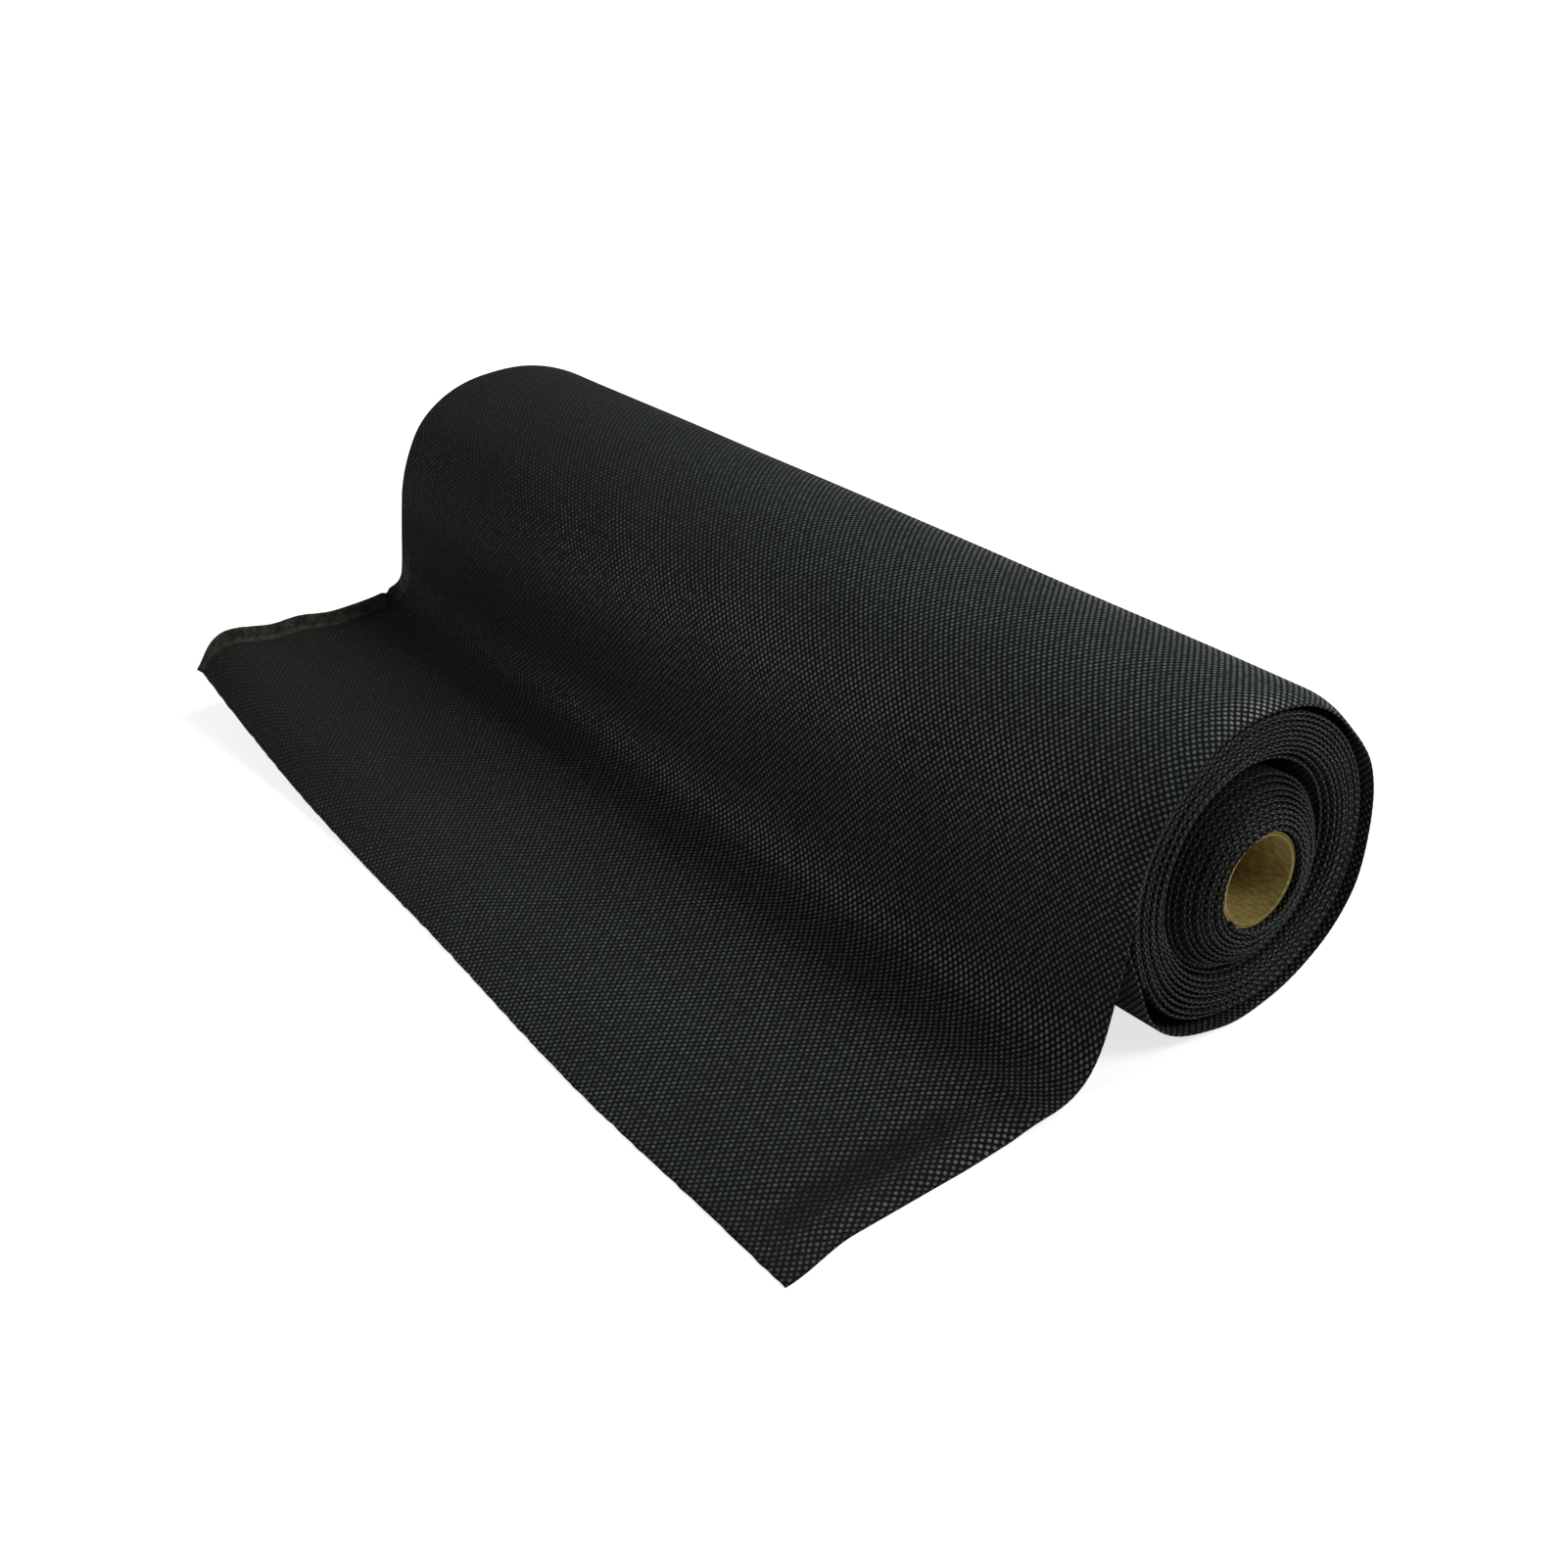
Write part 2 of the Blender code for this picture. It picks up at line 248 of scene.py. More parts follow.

# Cloth: painted shade in the crook of the drop, dust and painted light on the lip, and painted
# shade on the rims of the wound turns
CROOK_STARTS = (0.400, 0.426)
CROOK_ENDS = (0.440, 0.456, 1.0, 0.0)
CROOK_PAINTED_SHADE = (0.04, 0.44, 0.48, 0.9)
# The lip's pale edge: dust, and painted light on its upturned face
LIP_DUST_AND_LIGHT = (0.060, 0.062, 0.047, 1)
DUST_AND_LIGHT_EDGE = (0.0055, 0.0085, 1.0, 0.0)
DUST_AND_LIGHT_STARTS = (0.43, 0.455)
DUST_SCALE = 190.0
DUST_SHARE = (0.34, 0.64, 0.15, 1.0)
# Painted shade on the rims, and towards the groove on the telescoped turns
RIM_PAINTED_SHADE = (MAT_WIDTH - 0.0012, MAT_WIDTH - 0.0002, 1.0, 0.85)
GROOVE_PAINTED_SHADE = (0.40, 0.95, 1.0, 0.50)

# Kraft board
KRAFT_DARK = (0.26, 0.185, 0.038, 1)
KRAFT_PALE = (0.58, 0.48, 0.19, 1)
KRAFT_CLOUD = (0.33, 0.245, 0.066, 1)
KRAFT_FLECK = (0.12, 0.085, 0.03, 1)
KRAFT_FIBRE_STRETCH = (0.35, 1.0, 1.0)
KRAFT_FIBRE_SCALE = 900.0
KRAFT_FIBRE_SHARE = (0.25, 0.75)
KRAFT_CLOUD_SCALE = 60.0
KRAFT_CLOUD_SHARE = (0.3, 0.7, 0.0, 0.5)
KRAFT_FLECK_SCALE = 2300.0
KRAFT_FLECK_SHARE = (0.68, 0.78, 0.0, 0.6)
KRAFT_ROUGHNESS = (0.2, 0.8, 0.75, 0.9)
KRAFT_SPECULAR = 0.25
KRAFT_RELIEF = 0.00012

# Starter tape
TAPE_DARK = (0.52, 0.44, 0.29, 1)
TAPE_PALE = (0.66, 0.58, 0.42, 1)
TAPE_CREPE_STRETCH = (1.0, 6.0, 6.0)
TAPE_CREPE_SCALE = 500.0
TAPE_ROUGHNESS = (0.0, 1.0, 0.45, 0.65)
TAPE_RELIEF = 0.0001

# Camera at the photo's viewing angle
CAMERA_PLACE = Vector((0.706444, -0.553916, 0.510992))
CAMERA_YAW = 0.926704
CAMERA_PITCH = 0.5226476
CAMERA_ROLL = -0.0502952
CAMERA_LENS = 52.523
CAMERA_SENSOR = 36
CAMERA_REACH = 50

# Light and floor. A lamp is its name, place, aim, size and power.
LAMPS = (
    ("key", (0.15, 0.95, 1.35), (0, 0, 0.05), 0.6, 17.2),
    ("side", (1.1, 0.45, 1.0), (0.2, 0, 0.05), 0.6, 6.6),
    ("front", (-1.12, -1.2, 0.66), (0.05, 0, 0.05), 1.1, 7.2),
)
WHITE = (1, 1, 1, 1)
WORLD_LIGHT = 0.094
FLOOR_SIZE = 16
FLOOR_COLOUR = (0.86, 0.86, 0.86, 1)
FLOOR_ROUGHNESS = 0.9
FLOOR_GLOW = (0.5, 2.2, 0.75, 1.0)


def smooth(low, high, value):
    """0 below low, 1 above high, and an eased rise between."""
    share = np.clip((np.asarray(value, float) - low) / (high - low), 0, 1)
    return share * share * (3 - 2 * share)


def smooth_angle(low, high, angle):
    """The same from low to high in degrees, over an angle in radians."""
    return smooth(math.radians(low), math.radians(high), angle)


def between(start, end, share):
    return start + (end - start) * share


def hill(shape, value):
    """A hill's height at a value, falling to nothing about two widths from its middle."""
    height, middle, width = shape
    return height * np.exp(-(((np.asarray(value, float) - middle) / width) ** 2))


def hill_round(shape, angle):
    """A hill's height at an angle in radians, the same on every turn."""
    height, middle, width = shape
    away = np.cos(angle - math.radians(middle)) - 1
    return height * np.exp(2 / math.radians(width) ** 2 * away)


def near_part(inward, width):
    """1 at the near edge, and an even fall to 0 at this width and beyond."""
    return np.clip(1 - inward / width, 0, None)


def far_part(across, share):
    """1 at the far edge, and an even fall to 0 where this share of the width starts."""
    return np.clip((across - 1 + share) / share, 0, None)


def ripple(x, y=0, z=0, seed=0):
    """Smooth noise from -1 to 1 at places that broadcast together."""
    grid = np.broadcast_arrays(x, y, z)
    flat = np.stack([g.ravel() for g in grid], 1)
    shift = Vector((seed, seed, 0))
    values = [noise.noise(Vector(place) + shift) for place in flat]
    return np.array(values).reshape(grid[0].shape)


# Ribbons


def edge_columns(thickness, spacing):
    """Places across a ribbon, and the share of half its thickness there: round at both edges."""
    radius = thickness / 2
    clear = radius * RIM_CLEAR
    turn = np.linspace(0, math.pi / 2, RIM_STEPS + 1)
    rim = radius * (1 - np.cos(turn))
    middle = spacing[(spacing > clear) & (spacing < MAT_WIDTH - clear)]
    across = np.concatenate([rim, middle, MAT_WIDTH - rim[::-1]])
    full = np.concatenate([np.sin(turn), np.ones(len(middle)), np.sin(turn)[::-1]])
    return across, full


def surface_normals(middle):
    along = np.gradient(middle, axis=0)
    across = np.gradient(middle, axis=1)
    normal = np.cross(along, across)
    return normal / np.linalg.norm(normal, axis=2, keepdims=True)


def side_faces(rows, around, along):
    """Faces between each ring and the next, and their corners' places on the map."""
    count = len(around) - 1
    faces = []
    places = []
    for row in range(rows - 1):
        start = row * count
        low, high = along[row], along[row + 1]
        for spot in range(count):
            after = (spot + 1) % count
            faces.append((start + spot, start + after, start + count + after, start + count + spot))
            near, far = around[spot], around[spot + 1]
            places += [(low, near), (low, far), (high, far), (high, near)]
    return faces, places


def end_faces(rows, columns, around, along):
    """Faces that close the first and the last ring, and their corners' places on the map."""
    count = len(around) - 1
    faces = []
    places = []
    for row, flip in ((0, False), (rows - 1, True)):
        start = row * count
        for column in range(columns - 1):
            above = (count - column) % count
            above_next = count - column - 1 if column < columns - 2 else columns - 1
            face = [start + column, start + above, start + above_next, start + column + 1]
            face = list(dict.fromkeys(face))
            faces.append(tuple(face[::-1] if flip else face))
            places += [(along[row], around[column])] * len(face)
    return faces, places


def ribbon(name, middle, half, along, material):
    """A closed ribbon round a middle surface (rows, columns, 3), half thick to either side.
    Its map runs along the strip and round its section, both in metres."""
    rows, columns = middle.shape[:2]
    offset = surface_normals(middle) * half[..., None]
    ring = np.concatenate([middle - offset, (middle + offset)[:, -2:0:-1]], axis=1)
    closed = np.concatenate([ring, ring[:, :1]], axis=1)
    step = np.linalg.norm(np.diff(closed, axis=1), axis=2)
    around = np.concatenate([[0], np.cumsum(step.mean(axis=0))])
    sides, side_places = side_faces(rows, around, along)
    ends, end_places = end_faces(rows, columns, around, along)

    mesh = bpy.data.meshes.new(name)
    mesh.from_pydata(ring.reshape(-1, 3).tolist(), [], sides + ends)
    layer = mesh.uv_layers.new(name="cloth_place")
    layer.uv.foreach_set("vector", np.array(side_places + end_places, np.float32).ravel())
    mesh.materials.append(material)
    mesh.shade_smooth()
    piece = bpy.data.objects.new(name, mesh)
    bpy.context.scene.collection.objects.link(piece)
    face_outward(mesh)
    return piece


def face_outward(mesh):
    """Turn the faces over if they point inward."""
    mesh.calc_loop_triangles()
    points = np.zeros(len(mesh.vertices) * 3, np.float32)
    mesh.vertices.foreach_get("co", points)
    corners = np.zeros(len(mesh.loop_triangles) * 3, np.int32)
    mesh.loop_triangles.foreach_get("vertices", corners)
    a, b, c = points.reshape(-1, 3)[corners.reshape(-1, 3)].astype(float).transpose(1, 0, 2)
    if (a * np.cross(b, c)).sum() < 0:
        mesh.flip_normals()


def lengths_along(middle):
    """Distance along the strip to each row, at the middle column."""
    line = middle[:, middle.shape[1] // 2]
    step = np.linalg.norm(np.diff(line, axis=0), axis=1)
    return np.concatenate([[0], np.cumsum(step)])


# The outermost turn, the drop and the laid stretch


def paid_columns():
    """Places across the strip, closer together at its near edge and along the lip."""
    fine_from = MAT_WIDTH - FINE_FAR_WIDTH
    spacing = np.concatenate([
        np.arange(EDGE_COLUMN, FINE_NEAR_WIDTH, EDGE_COLUMN),
        np.arange(FINE_NEAR_WIDTH, fine_from, COLUMN),
        np.arange(fine_from, MAT_WIDTH, EDGE_COLUMN),
    ])
    return edge_columns(CLOTH_THICKNESS, spacing)


def edge_roll(distance, width, depth):
    """How far an edge is rolled in, and how far that pulls it back, this far from the edge."""
    left = near_part(distance, width)
    return depth * left ** 2, 2 / 3 * depth ** 2 / width * left ** 3


def near_shoulder(inward, angle):
    """The near edge is rolled in over the front, the top and the upper back."""
    depth = SHOULDER_DRAW * (1 - smooth_angle(*SHOULDER_ENDS, angle))
    return edge_roll(inward, SHOULDER_WIDTH, depth)


def wrap_swell(angle, x):
    """How far the outermost turn stands out from a plain spiral."""
    swell = hill_round(FRONT_SAG, angle)
    swell = swell + hill_round(CROWN_SWELL, angle) * smooth(*CROWN_SWELL_PLACE, x)
    swell = swell + hill_round(FAR_SWELL, angle) * smooth(*FAR_SWELL_PLACE, x)
    around = (WRAP_RIPPLE_RATE * np.cos(angle), WRAP_RIPPLE_RATE * np.sin(angle))
    return swell + WRAP_RIPPLE * ripple(*around, WRAP_RIPPLE_RATE_ACROSS * x, seed=4)


def wrap_shift(angle, inward):
    """How far the outermost turn is shifted along the core."""
    shifted = smooth_angle(*EDGE_SHIFT_STARTS, angle) - smooth_angle(*EDGE_SHIFT_ENDS, angle)
    shift = EDGE_SHIFT * shifted + hill_round(BACK_SHIFT, angle)
    shift = shift + hill_round(FOOT_SHIFT, angle) + hill_round(TOP_SHIFT, angle)
    pulled = smooth_angle(*START_PULL_ANGLES, angle) * near_part(inward, START_PULL_REACH) ** 2
    return shift - START_PULL * pulled


def wrap_rows(inward):
    """The outermost turn's middle surface."""
    rows = round((WRAP_START - WRAP_LEAVES) * ROLL_RADIUS / WRAP_ROW)
    angle = np.linspace(WRAP_START, WRAP_LEAVES, rows + 1)[:-1, None]
    inward = inward[None]
    x = MAT_WIDTH / 2 - inward
    near_draw, near_pull = near_shoulder(inward, angle)
    far_depth = hill_round(FAR_SHOULDER_DRAW, angle)
    far_draw, far_pull = edge_roll(MAT_WIDTH - inward, FAR_SHOULDER_WIDTH, far_depth)
    tuck = WRAP_TUCK * smooth_angle(*WRAP_TUCK_ANGLES, angle)
    radius = PAID_RADIUS - tuck + wrap_swell(angle, x) - near_draw - far_draw
    y = -radius * np.cos(angle)
    z = AXIS_HEIGHT + radius * np.sin(angle)
    return np.stack([x - near_pull + far_pull + wrap_shift(angle, inward), y, z], axis=2)


def bezier(along, start, first, second, end):
    back = 1 - along
    return (start * back ** 3 + 3 * first * back ** 2 * along
            + 3 * second * back * along ** 2 + end * along ** 3)


def drop_rows(inward, along):
    """The drop leaves the roll on its tangent and ends level at the foot."""
    inward, along = inward[None], along[:, None]
    across = inward / MAT_WIDTH
    out, up = math.cos(WRAP_LEAVES), math.sin(WRAP_LEAVES)
    leaves_y = -PAID_RADIUS * out
    leaves_z = AXIS_HEIGHT + PAID_RADIUS * up
    foot_z = between(FOOT_NEAR_HEIGHT, FOOT_FAR_HEIGHT, across)
    reach = between(DROP_NEAR_SHARE, DROP_FAR_SHARE, across) * (leaves_z - foot_z)
    level_y = between(FOOT_Y, leaves_y, between(BEND_NEAR_SHARE, BEND_FAR_SHARE, across))
    y = bezier(along, leaves_y, leaves_y - reach * up, level_y, FOOT_Y)
    z = bezier(along, leaves_z, leaves_z - reach * out, foot_z, foot_z)
    x = MAT_WIDTH / 2 - inward
    draw, pull = near_shoulder(inward, WRAP_LEAVES)
    kept = 1 - smooth(*SHOULDER_FADES, along)
    rate_x, rate_z = DROP_RIPPLE_RATE
    wave = DROP_RIPPLE * np.sin(math.pi * along) * ripple(rate_x * x, rate_z * z, seed=7)
    y = y + draw * kept * out + wave
    z = z - draw * kept * up
    return np.stack([x - pull * kept, y, z], axis=2)


def laid_height(inward, across, along):
    """The laid stretch rises to its far side, and falls to the ground along its near edge."""
    edge = CLOTH_THICKNESS / 2 + REST_GAP + CORNER_LIFT * far_part(across, CORNER_LIFT_SHARE) ** 2
    foot = between(FOOT_NEAR_HEIGHT, FOOT_FAR_HEIGHT, across)
    hump = SIDE_HUMP * across ** 2 * np.sin(math.pi * along ** 3)
    wave = hill(FAR_WAVE, along) - CORNER_DROOP * smooth(*CORNER_DROOP_PLACE, along)
    fall = EDGE_FALL * near_part(inward, EDGE_FALL_WIDTH) ** 2 + hill(EDGE_DIP, inward)
    z = between(foot, edge, along) + hump + far_part(across, FAR_WAVE_SHARE) ** 2 * wave
    return z - smooth(*EDGE_FALL_PLACE, along) * fall


def laid_rows(inward, along):
    """The laid stretch's middle surface, with its cut end a little bowed and uneven."""
    inward, along = inward[None], along[:, None]
    across = inward / MAT_WIDTH
    length = between(LAID_NEAR_LENGTH, LAID_FAR_LENGTH, across) + hill(LAID_BOW, across)
    length = length + CUT_RIPPLE * ripple(CUT_RIPPLE_RATE * across, seed=2)
    x = MAT_WIDTH / 2 - inward
    y = FOOT_Y - length * along
    rate_x, rate_y = LAID_RIPPLE_RATE
    wave = LAID_RIPPLE * ripple(rate_x * x, rate_y * y, seed=9)
    z = laid_height(inward, across, along) + smooth(*LAID_RIPPLE_PLACE, along) * wave
    splay = NEAR_SPLAY * smooth(*NEAR_SPLAY_PLACE, along)
    pull = NEAR_PULL * smooth(*NEAR_PULL_PLACE, along)
    x = x + near_part(inward, NEAR_REACH) ** 2 * (splay - pull)
    return np.stack([x, y, z], axis=2)


def lip_growth(wrap_count, drop_along, laid_along):
    """How far the lip is turned up on each row, with a nick in the crook of the foot."""
    on_drop = smooth(*LIP_STARTS, drop_along) * (1 - hill(NICK, drop_along))
    on_laid = 1 + LIP_RIPPLE * ripple(LIP_RIPPLE_RATE * laid_along, 0, 3, seed=3)
    return np.concatenate([np.zeros(wrap_count), on_drop, on_laid])


def lip_left(wrap_count, drop_along, laid_along):
    """The share of the lip's width left on each row: it narrows to the free end."""
    cut = LIP_END_CUT * smooth(*LIP_END, laid_along)
    return 1 - np.concatenate([np.zeros(wrap_count + len(drop_along)), cut])


def turn_up_lip(surface, inward, lip, drop_along, laid_along):
    """Lay the cloth beyond the lip's base out again, turned up from the strip's own slope."""
    wrap_count = len(surface) - len(drop_along) - len(laid_along)
    x, y, z = surface.transpose(2, 0, 1)
    base = np.searchsorted(inward, MAT_WIDTH - LIP_WIDTH)
    run_y, run_z = np.gradient(y[:, base]), np.gradient(z[:, base])
    length = np.hypot(run_y, run_z)
    grown = lip_growth(wrap_count, drop_along, laid_along)[:, None]
    left = lip_left(wrap_count, drop_along, laid_along)[:, None]
    step = np.diff(np.concatenate([[0], lip]))[None] * left
    turn = LIP_TURN * grown * smooth(*LIP_BEND, lip / LIP_WIDTH)[None]
    rise = np.cumsum(step * np.sin(turn), axis=1)
    run = np.cumsum(step * np.cos(turn), axis=1)
    run[:wrap_count] = 0
    far = far_part((inward - lip)[None] / MAT_WIDTH, FAR_SPLAY_SHARE) ** 2
    x = x - run - FAR_SPLAY * far * grown
    y = y + rise * (run_z / length)[:, None]
    z = z - rise * (run_y / length)[:, None]
    return np.stack([x, y, z], axis=2)


def paid_out_surface():
    inward, full = paid_columns()
    lip = np.clip(inward - (MAT_WIDTH - LIP_WIDTH), 0, None)
    drop_along = np.linspace(0, 1, round(DROP_LENGTH / DROP_ROW) + 1)[:-1]
    laid_along = np.linspace(0, 1, LAID_ROWS + 1)
    drop = drop_rows(inward - lip, drop_along)
    laid = laid_rows(inward - lip, laid_along)
    surface = np.concatenate([wrap_rows(inward), drop, laid])
    return turn_up_lip(surface, inward, lip, drop_along, laid_along), full


def add_paid_out(material):
    middle, full = paid_out_surface()
    half = np.broadcast_to(CLOTH_THICKNESS / 2 * full, middle.shape[:2])
    middle[..., 2] = np.maximum(middle[..., 2], half + REST_GAP)
    along = lengths_along(middle)
    piece = ribbon("mat_paid_out", middle, half, along, material)
    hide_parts("mat_outer_wrap", "mat_free_end")
    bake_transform(piece)


# Wound turns


def inner_shape(share, angle):
    """The telescoped turns: a cone that stands proud at the core and ends in the groove."""
    shift = TELESCOPE_PROUD - CONE_FALL * share - CONE_DROP * share ** 3
    swell = hill_round(CONE_SWELL, angle) * share ** 3
    return between(FIRST_TURN_RADIUS, INNER_LAST_RADIUS, share) + swell, shift


def outer_shape(share, angle):
    """The outer turns: they rise out of the groove, and sag towards the bottom."""
    sag = hill_round(PACK_SAG, angle) * share ** PACK_SAG_POWER
    close = hill_round(GROOVE_CLOSE, angle) * (1 - share) ** 3
    tuck = PACK_TUCK * share ** 2 * (1 + np.cos(angle - PACK_TUCK_ANGLE)) / 2
    ridge = OUTER_RIDGE * smooth(*OUTER_RIDGE_SHARE, share)
    shift = -GROOVE_DEPTH + ridge + OUTER_RISE * share - tuck
    return between(OUTER_FIRST_RADIUS, OUTER_LAST_RADIUS, share) + sag - close, shift


def wound_surface(centre, shape, seed):
    """Middle surface of a winding about a centre, its radius and shift given by a shape."""
    share = np.linspace(0, 1, TURNS_EACH * TURN_STEPS + 1)[:-1]
    turns = TURNS_EACH * share
    angle = BREAK_ANGLE + math.tau * (TURNS_EACH - turns)
    out, up = np.cos(angle), np.sin(angle)
    radius, shift = shape(share, angle)
    loose = ripple(TURN_LOOSENESS_RATE * turns, out, up, seed=seed + 3)
    radius = radius + TURN_LOOSENESS * loose
    around = (TURN_WANDER_RATE_AROUND * out, TURN_WANDER_RATE_AROUND * up)
    wander = ripple(TURN_WANDER_RATE * turns, *around, seed=seed)
    shift = shift + TURN_STAGGER * np.cos(math.pi * turns) + TURN_WANDER * wander
    inward, full = edge_columns(TURN_THICKNESS, TURN_COLUMNS)
    mouth = MOUTH_DRAW * near_part(inward, MOUTH_WIDTH) ** 2
    radius = radius[:, None] - mouth * smooth(*MOUTH_TURNS, turns)[:, None]
    x = MAT_WIDTH / 2 - inward[None] + shift[:, None]
    y = centre[0] - radius * out[:, None]
    z = centre[1] + radius * up[:, None]
    return np.stack([x, y, z], axis=2), full


def add_turns(name, node, body, surface, material):
    middle, full = surface
    half = np.broadcast_to(TURN_THICKNESS / 2 * full, middle.shape[:2])
    along = lengths_along(middle)
    piece = ribbon(name, middle, half, along, material)
    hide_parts(node)
    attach(piece, body)


# Materials


class Nodes:
    """Short calls for a material's nodes."""

    def __init__(self, name):
        self.material = bpy.data.materials.new(name)
        self.material.use_nodes = True
        self.tree = self.material.node_tree
        self.shader = self.tree.nodes["Principled BSDF"]

    def put(self, value, socket):
        """Link a socket to another, or set it to a number, vector or colour."""
        if isinstance(value, bpy.types.NodeSocket):
            self.tree.links.new(value, socket)
        else:
            socket.default_value = value

    def add(self, kind, inputs=(), **settings):
        node = self.tree.nodes.new("ShaderNode" + kind)
        for key, value in settings.items():
            setattr(node, key, value)
        for key, value in dict(inputs).items():
            self.put(value, node.inputs[key])
        return node

    def math(self, operation, *values, clamp=False):
        return self.add("Math", enumerate(values), operation=operation, use_clamp=clamp).outputs[0]

    def times(self, *values):
        """The product of two or more values."""
        product = values[0]
        for value in values[1:]:
            product = self.math("MULTIPLY", product, value)
        return product

    def vector(self, operation, *values):
        node = self.add("VectorMath", enumerate(values), operation=operation)
        return node.outputs["Value" if operation == "LENGTH" else "Vector"]

    def scaled(self, color, share):
        names = {0: color, "Scale": share}
        return self.add("VectorMath", names, operation="SCALE").outputs["Vector"]

    def ramp(self, value, low, high, start=0.0, end=1.0):
        """The value's place from low to high, eased, as start to end."""
        names = {"Value": value, "From Min": low, "From Max": high, "To Min": start, "To Max": end}
        return self.add("MapRange", names, interpolation_type="SMOOTHSTEP").outputs["Result"]

    def mix(self, share, first, second):
        node = self.add("Mix", data_type="RGBA")
        for key, value in (("Factor", share), ("A", first), ("B", second)):
            self.put(value, next(s for s in node.inputs if s.name == key and s.enabled))
        return next(s for s in node.outputs if s.enabled)

    def noise(self, vector, scale, detail, roughness=0.5):
        names = {"Vector": vector, "Scale": scale, "Detail": detail, "Roughness": roughness}
        return self.add("TexNoise", names).outputs["Fac"]

    def finish(self, color, roughness, height, distance):
        bump = self.add("Bump", {"Height": height, "Distance": distance, "Strength": 1.0})
        self.put(color, self.shader.inputs["Base Color"])
        self.put(roughness, self.shader.inputs["Roughness"])
        self.put(bump.outputs["Normal"], self.shader.inputs["Normal"])
        return self.material


def crook_painted_shade(n, color, along, across):
    """Painted shade: the cloth is darkest in the crook of the drop, most of all at its far side."""
    crook = n.times(n.ramp(along, *CROOK_STARTS), n.ramp(along, *CROOK_ENDS))
    return n.scaled(color, n.ramp(crook, 0.0, 1.0, 1.0, n.ramp(across, *CROOK_PAINTED_SHADE)))


def painted_shade_on_points(n, along, across):
    """Painted shade on the pressed points: dimmed over the laid stretch, more towards its near
    edge, and more again in the dip along the near edge.
    """
    side = n.times(n.ramp(across, *DIP_INSIDE), n.ramp(across, *DIP_OUTSIDE))
    ahead = n.times(n.ramp(along, *DIP_STARTS), n.ramp(along, *DIP_FADES))
    dip = n.ramp(n.times(side, ahead), 0.0, 1.0, 1.0, DIP_PAINTED_SHADE)
    laid_shade = n.ramp(across, *LAID_SHADE_ACROSS, LAID_PAINTED_SHADE, LAID_EDGE_PAINTED_SHADE)
    return n.times(dip, n.ramp(along, *LAID_SHADE_ALONG, 1.0, laid_shade))


def lip_dust_and_painted_light(n, color, place, along, across):
    """The lip is paler along its edge: browner with dust, and lighter with painted light on its
    upturned face.
    """
    edge = n.times(n.ramp(across, *DUST_AND_LIGHT_EDGE), n.ramp(along, *DUST_AND_LIGHT_STARTS))
    dusty = n.ramp(n.noise(place, DUST_SCALE, 3.0, 0.7), *DUST_SHARE)
    return n.mix(n.times(edge, dusty), color, LIP_DUST_AND_LIGHT)


def rim_painted_shade(n, color, along, across, in_groove):
    """Painted shade: darker rims, and on the telescoped turns darker still towards the groove."""
    rim = n.ramp(across, *RIM_PAINTED_SHADE)
    if in_groove:
        rim = n.times(rim, n.ramp(along, *GROOVE_PAINTED_SHADE))
    return n.scaled(color, rim)


def from_nearest_point(n, place):
    """How far off the nearest pressed point is, in widths of a cell."""
    stray = n.noise(place, POINT_STRAY_SCALE, 1.0)
    moved = n.math("MULTIPLY_ADD", stray, POINT_STRAY, -POINT_STRAY / 2)
    place = n.vector("ADD", place, n.add("CombineXYZ", {"X": moved}).outputs[0])
    cell = n.vector("DIVIDE", place, (CELL_ALONG, CELL_ACROSS, 1))
    lengths = []
    for offset in (0.0, 0.5):
        part = n.vector("FRACTION", n.vector("ADD", cell, (offset, offset, 0)))
        part = n.vector("SUBTRACT", part, (0.5, 0.5, 0))
        part = n.vector("MULTIPLY", part, (CELL_ALONG / CELL_ACROSS, 1, 0))
        lengths.append(n.vector("LENGTH", part))
    return n.math("MINIMUM", *lengths)


def cloth_material(name, kind):
    """Black spunbond cloth with its pressed points, their pale colour a painted glint: paid out,
    wound or telescoped.
    """
    n = Nodes(name)
    place = n.add("UVMap", uv_map="cloth_place").outputs["UV"]
    along, around = n.add("SeparateXYZ", {"Vector": place}).outputs[:2]
    across = n.math("ABSOLUTE", n.math("SUBTRACT", around, MAT_WIDTH))
    nearest = from_nearest_point(n, place)
    fibre = n.noise(n.vector("MULTIPLY", place, FIBRE_STRETCH), FIBRE_SCALE, 3.0, 0.7)

    patchy = n.ramp(n.noise(place, PATCH_SCALE, 2.0, 0.6), *PATCH_STRENGTH)
    pressed = n.ramp(n.noise(place, PRESS_SCALE, 2.0), *PRESS_STRENGTH)
    faded = n.ramp(across, *NEAR_STRENGTH)
    strength = n.times(patchy, pressed, faded)
    if kind == "paid out":
        # Painted shade dims the points over the laid stretch and in the dip
        strength = n.times(strength, painted_shade_on_points(n, along, across))
    shown = n.math("MULTIPLY", n.ramp(nearest, *POINT_COLOUR_EDGE), strength, clamp=True)

    # The points' pale colour is a painted glint on the dark cloth
    color = n.mix(shown, n.mix(faded, CLOTH_FADED, CLOTH_DARK), CLOTH_POINT_GLINT)
    if kind == "paid out":
        # Painted shade in the crook of the drop
        color = crook_painted_shade(n, color, along, across)
        # Dust and painted light along the lip
        color = lip_dust_and_painted_light(n, color, place, along, across)
    else:
        # Painted shade on the rims and towards the groove
        color = rim_painted_shade(n, color, along, across, kind == "telescoped")
    color = n.scaled(color, n.ramp(fibre, *FIBRE_SHADE))
    raised = n.ramp(nearest, *POINT_HEIGHT_EDGE)
    height = n.math("ADD", raised, n.times(fibre, FIBRE_RELIEF))
    n.shader.inputs["Specular IOR Level"].default_value = CLOTH_SPECULAR
    return n.finish(color, n.ramp(shown, *CLOTH_ROUGHNESS), height, CLOTH_RELIEF)


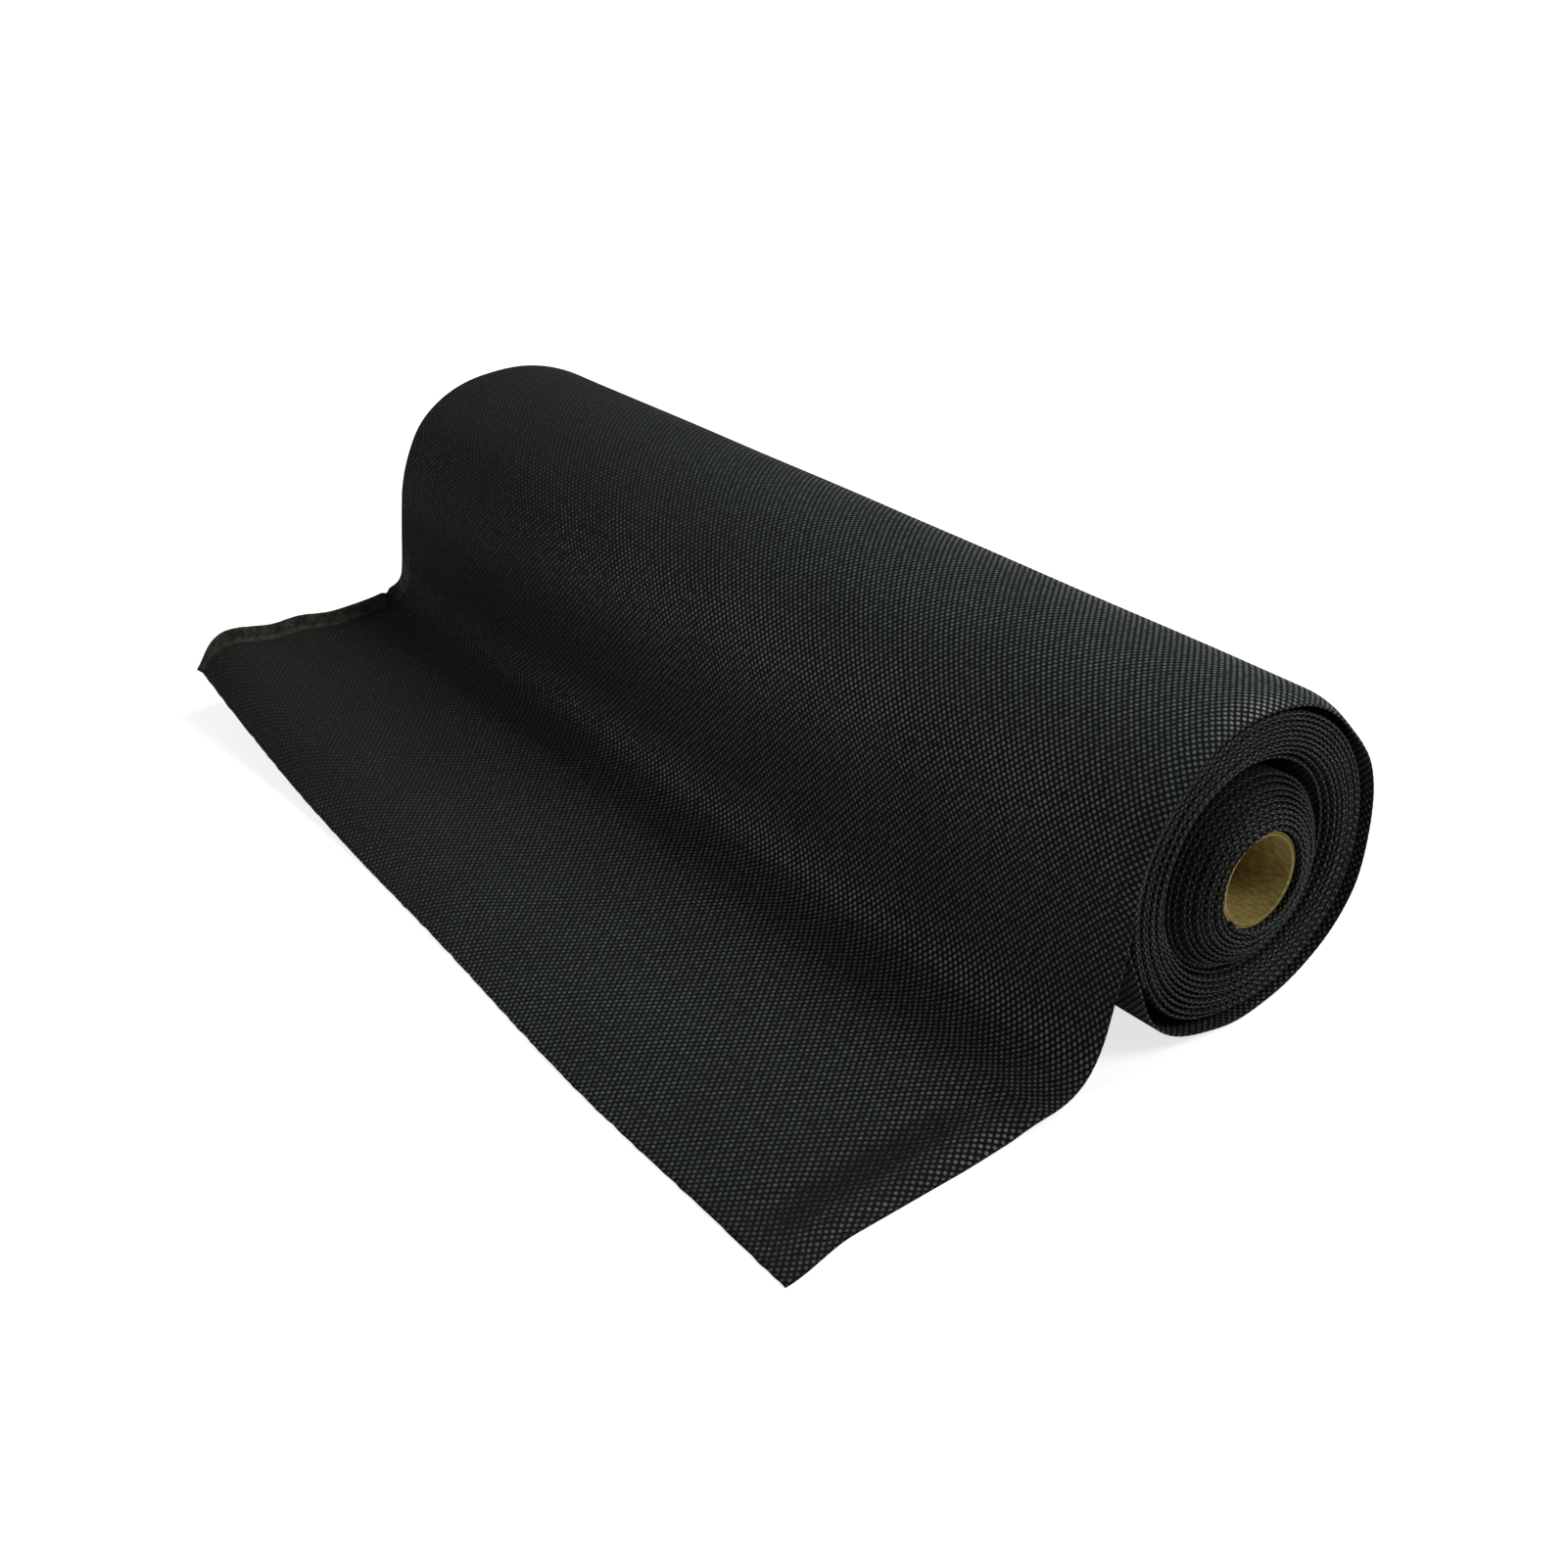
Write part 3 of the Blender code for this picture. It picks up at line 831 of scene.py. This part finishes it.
def kraft_material():
    """Uncoated kraft board: long fibres, cloudy patches and dark flecks."""
    n = Nodes("kraft_board")
    place = n.add("TexCoord").outputs["Object"]
    stretched = n.vector("MULTIPLY", place, KRAFT_FIBRE_STRETCH)
    fibre = n.noise(stretched, KRAFT_FIBRE_SCALE, 3.0, 0.65)
    cloud = n.noise(place, KRAFT_CLOUD_SCALE, 3.0, 0.6)
    fleck = n.noise(place, KRAFT_FLECK_SCALE, 1.0)
    color = n.mix(n.ramp(fibre, *KRAFT_FIBRE_SHARE), KRAFT_DARK, KRAFT_PALE)
    color = n.mix(n.ramp(cloud, *KRAFT_CLOUD_SHARE), color, KRAFT_CLOUD)
    color = n.mix(n.ramp(fleck, *KRAFT_FLECK_SHARE), color, KRAFT_FLECK)
    n.shader.inputs["Specular IOR Level"].default_value = KRAFT_SPECULAR
    roughness = n.ramp(fibre, *KRAFT_ROUGHNESS)
    return n.finish(color, roughness, n.math("ADD", fibre, cloud), KRAFT_RELIEF)


def tape_material():
    """Creped paper tape."""
    n = Nodes("starter_tape")
    place = n.add("TexCoord").outputs["Object"]
    stretched = n.vector("MULTIPLY", place, TAPE_CREPE_STRETCH)
    crepe = n.noise(stretched, TAPE_CREPE_SCALE, 2.0, 0.6)
    color = n.mix(crepe, TAPE_DARK, TAPE_PALE)
    return n.finish(color, n.ramp(crepe, *TAPE_ROUGHNESS), crepe, TAPE_RELIEF)


# Stage


def add_camera():
    yaw, pitch, roll = CAMERA_YAW, CAMERA_PITCH, CAMERA_ROLL
    away = math.cos(pitch)
    back = Vector((math.sin(yaw) * away, -math.cos(yaw) * away, math.sin(pitch)))
    level = Vector((math.cos(yaw), math.sin(yaw), 0))
    up = back.cross(level)
    right = math.cos(roll) * level + math.sin(roll) * up
    upright = math.cos(roll) * up - math.sin(roll) * level
    turned = Matrix((right, upright, back)).transposed().to_4x4()
    camera = bpy.data.objects.new("camera", bpy.data.cameras.new("camera"))
    camera.data.lens = CAMERA_LENS
    camera.data.sensor_width = CAMERA_SENSOR
    camera.data.clip_end = CAMERA_REACH
    camera.matrix_world = Matrix.Translation(CAMERA_PLACE) @ turned
    bpy.context.scene.collection.objects.link(camera)
    bpy.context.scene.camera = camera


def add_lamp(name, place, aim, size, power):
    light = bpy.data.lights.new(name, "AREA")
    light.size = size
    light.energy = power
    lamp = bpy.data.objects.new(name, light)
    lamp.location = place
    lamp.rotation_euler = (Vector(aim) - Vector(place)).to_track_quat("-Z", "Y").to_euler()
    bpy.context.scene.collection.objects.link(lamp)


def add_world():
    """White to the camera and through clear things, and dim as a light."""
    world = bpy.data.worlds.new("studio")
    world.use_nodes = True
    bpy.context.scene.world = world
    tree = world.node_tree
    path = tree.nodes.new("ShaderNodeLightPath")
    seen = tree.nodes.new("ShaderNodeMath")
    seen.operation = "MAXIMUM"
    tree.links.new(path.outputs["Is Camera Ray"], seen.inputs[0])
    tree.links.new(path.outputs["Is Transmission Ray"], seen.inputs[1])
    strength = tree.nodes.new("ShaderNodeMapRange")
    tree.links.new(seen.outputs[0], strength.inputs["Value"])
    strength.inputs["To Min"].default_value = WORLD_LIGHT
    strength.inputs["To Max"].default_value = 1.0
    background = tree.nodes["Background"]
    tree.links.new(strength.outputs["Result"], background.inputs["Strength"])
    background.inputs["Color"].default_value = WHITE


def add_floor():
    """A pale floor that glows to the camera alone, and more so away from the object."""
    bpy.ops.mesh.primitive_plane_add(size=FLOOR_SIZE)
    floor = bpy.context.object
    floor.name = "floor"
    n = Nodes("pale_floor")
    n.shader.inputs["Base Color"].default_value = FLOOR_COLOUR
    n.shader.inputs["Roughness"].default_value = FLOOR_ROUGHNESS
    n.shader.inputs["Specular IOR Level"].default_value = 0.0
    n.shader.inputs["Emission Color"].default_value = WHITE
    seen = n.add("LightPath").outputs["Is Camera Ray"]
    distance = n.vector("LENGTH", n.add("TexCoord").outputs["Object"])
    glow = n.times(seen, n.ramp(distance, *FLOOR_GLOW))
    n.put(glow, n.shader.inputs["Emission Strength"])
    floor.data.materials.append(n.material)


add_camera()
add_world()
add_floor()
for lamp_values in LAMPS:
    add_lamp(*lamp_values)

paid_cloth = cloth_material("paid_out_cloth", "paid out")
wound_cloth = cloth_material("wound_cloth", "wound")
telescoped_cloth = cloth_material("telescoped_cloth", "telescoped")
kraft = kraft_material()
for ply in ("core_inner_ply", "core_outer_ply"):
    frame["nodes"][ply].material_slots[0].material = kraft
frame["nodes"]["starter_tape"].material_slots[0].material = tape_material()

add_paid_out(paid_cloth)
outer = wound_surface(ROLL_CENTRE, outer_shape, seed=1)
add_turns("mat_outer_layers", "mat_outer_turns", "roll", outer, wound_cloth)
inner = wound_surface(CORE_CENTRE, inner_shape, seed=5)
add_turns("mat_inner_layers", "mat_inner_turns", "core", inner, telescoped_cloth)

bpy.context.scene.view_settings.view_transform = "Standard"
